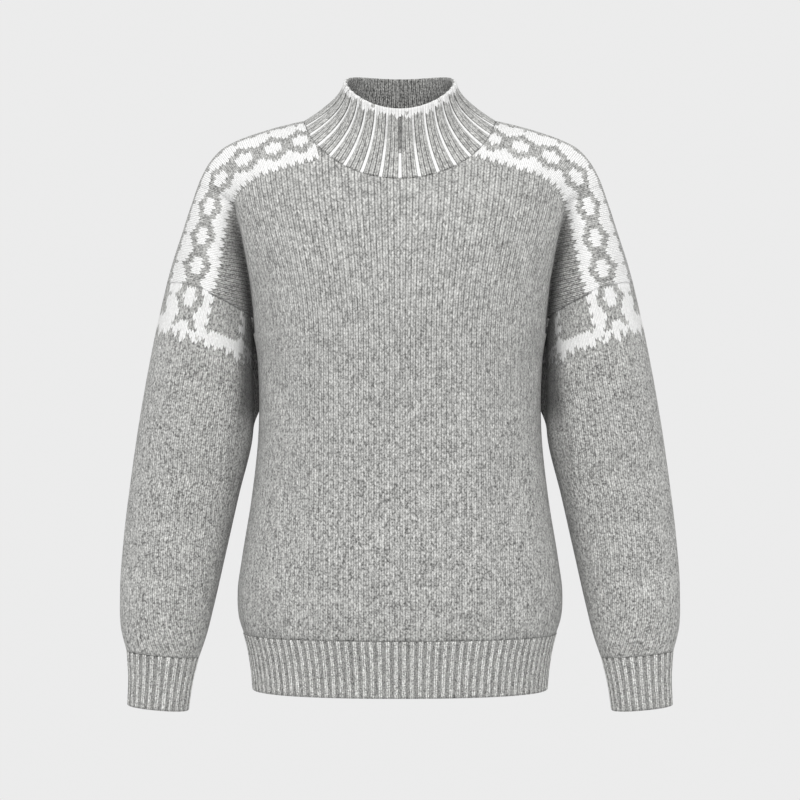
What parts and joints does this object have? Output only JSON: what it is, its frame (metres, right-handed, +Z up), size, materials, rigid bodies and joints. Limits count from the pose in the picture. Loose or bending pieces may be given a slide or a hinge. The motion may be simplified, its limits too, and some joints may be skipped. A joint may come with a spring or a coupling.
{
  "type": "mock neck sweater",
  "caption": "Knitted pullover sweater with a ribbed mock neck collar, dropped shoulders, long sleeves and a patterned shoulder band, filled out and hollow.",
  "frame": {"origin": "middle of the neck opening at the height where the shoulder seams meet the collar, which is where the wearer's shoulders and neck carry the sweater", "axes": "+Z up, the front of the sweater faces -Y, +X toward the wearer's left arm"},
  "size_m": [0.6034, 0.2411, 0.6854],
  "materials": {
    "grey_knit": "soft grey marl wool in plain knit, with a white and grey stranded pattern on the shoulders",
    "rib_knit": "soft grey marl wool in rib, with white valleys and a white edge on the collar"
  },
  "bodies": {
    "root": {"front": "grey_knit", "back": "grey_knit", "sleeve_left": "grey_knit", "sleeve_right": "grey_knit", "collar": "rib_knit", "hem_rib": "rib_knit", "cuff_left": "rib_knit", "cuff_right": "rib_knit"}
  },
  "joints": []
}
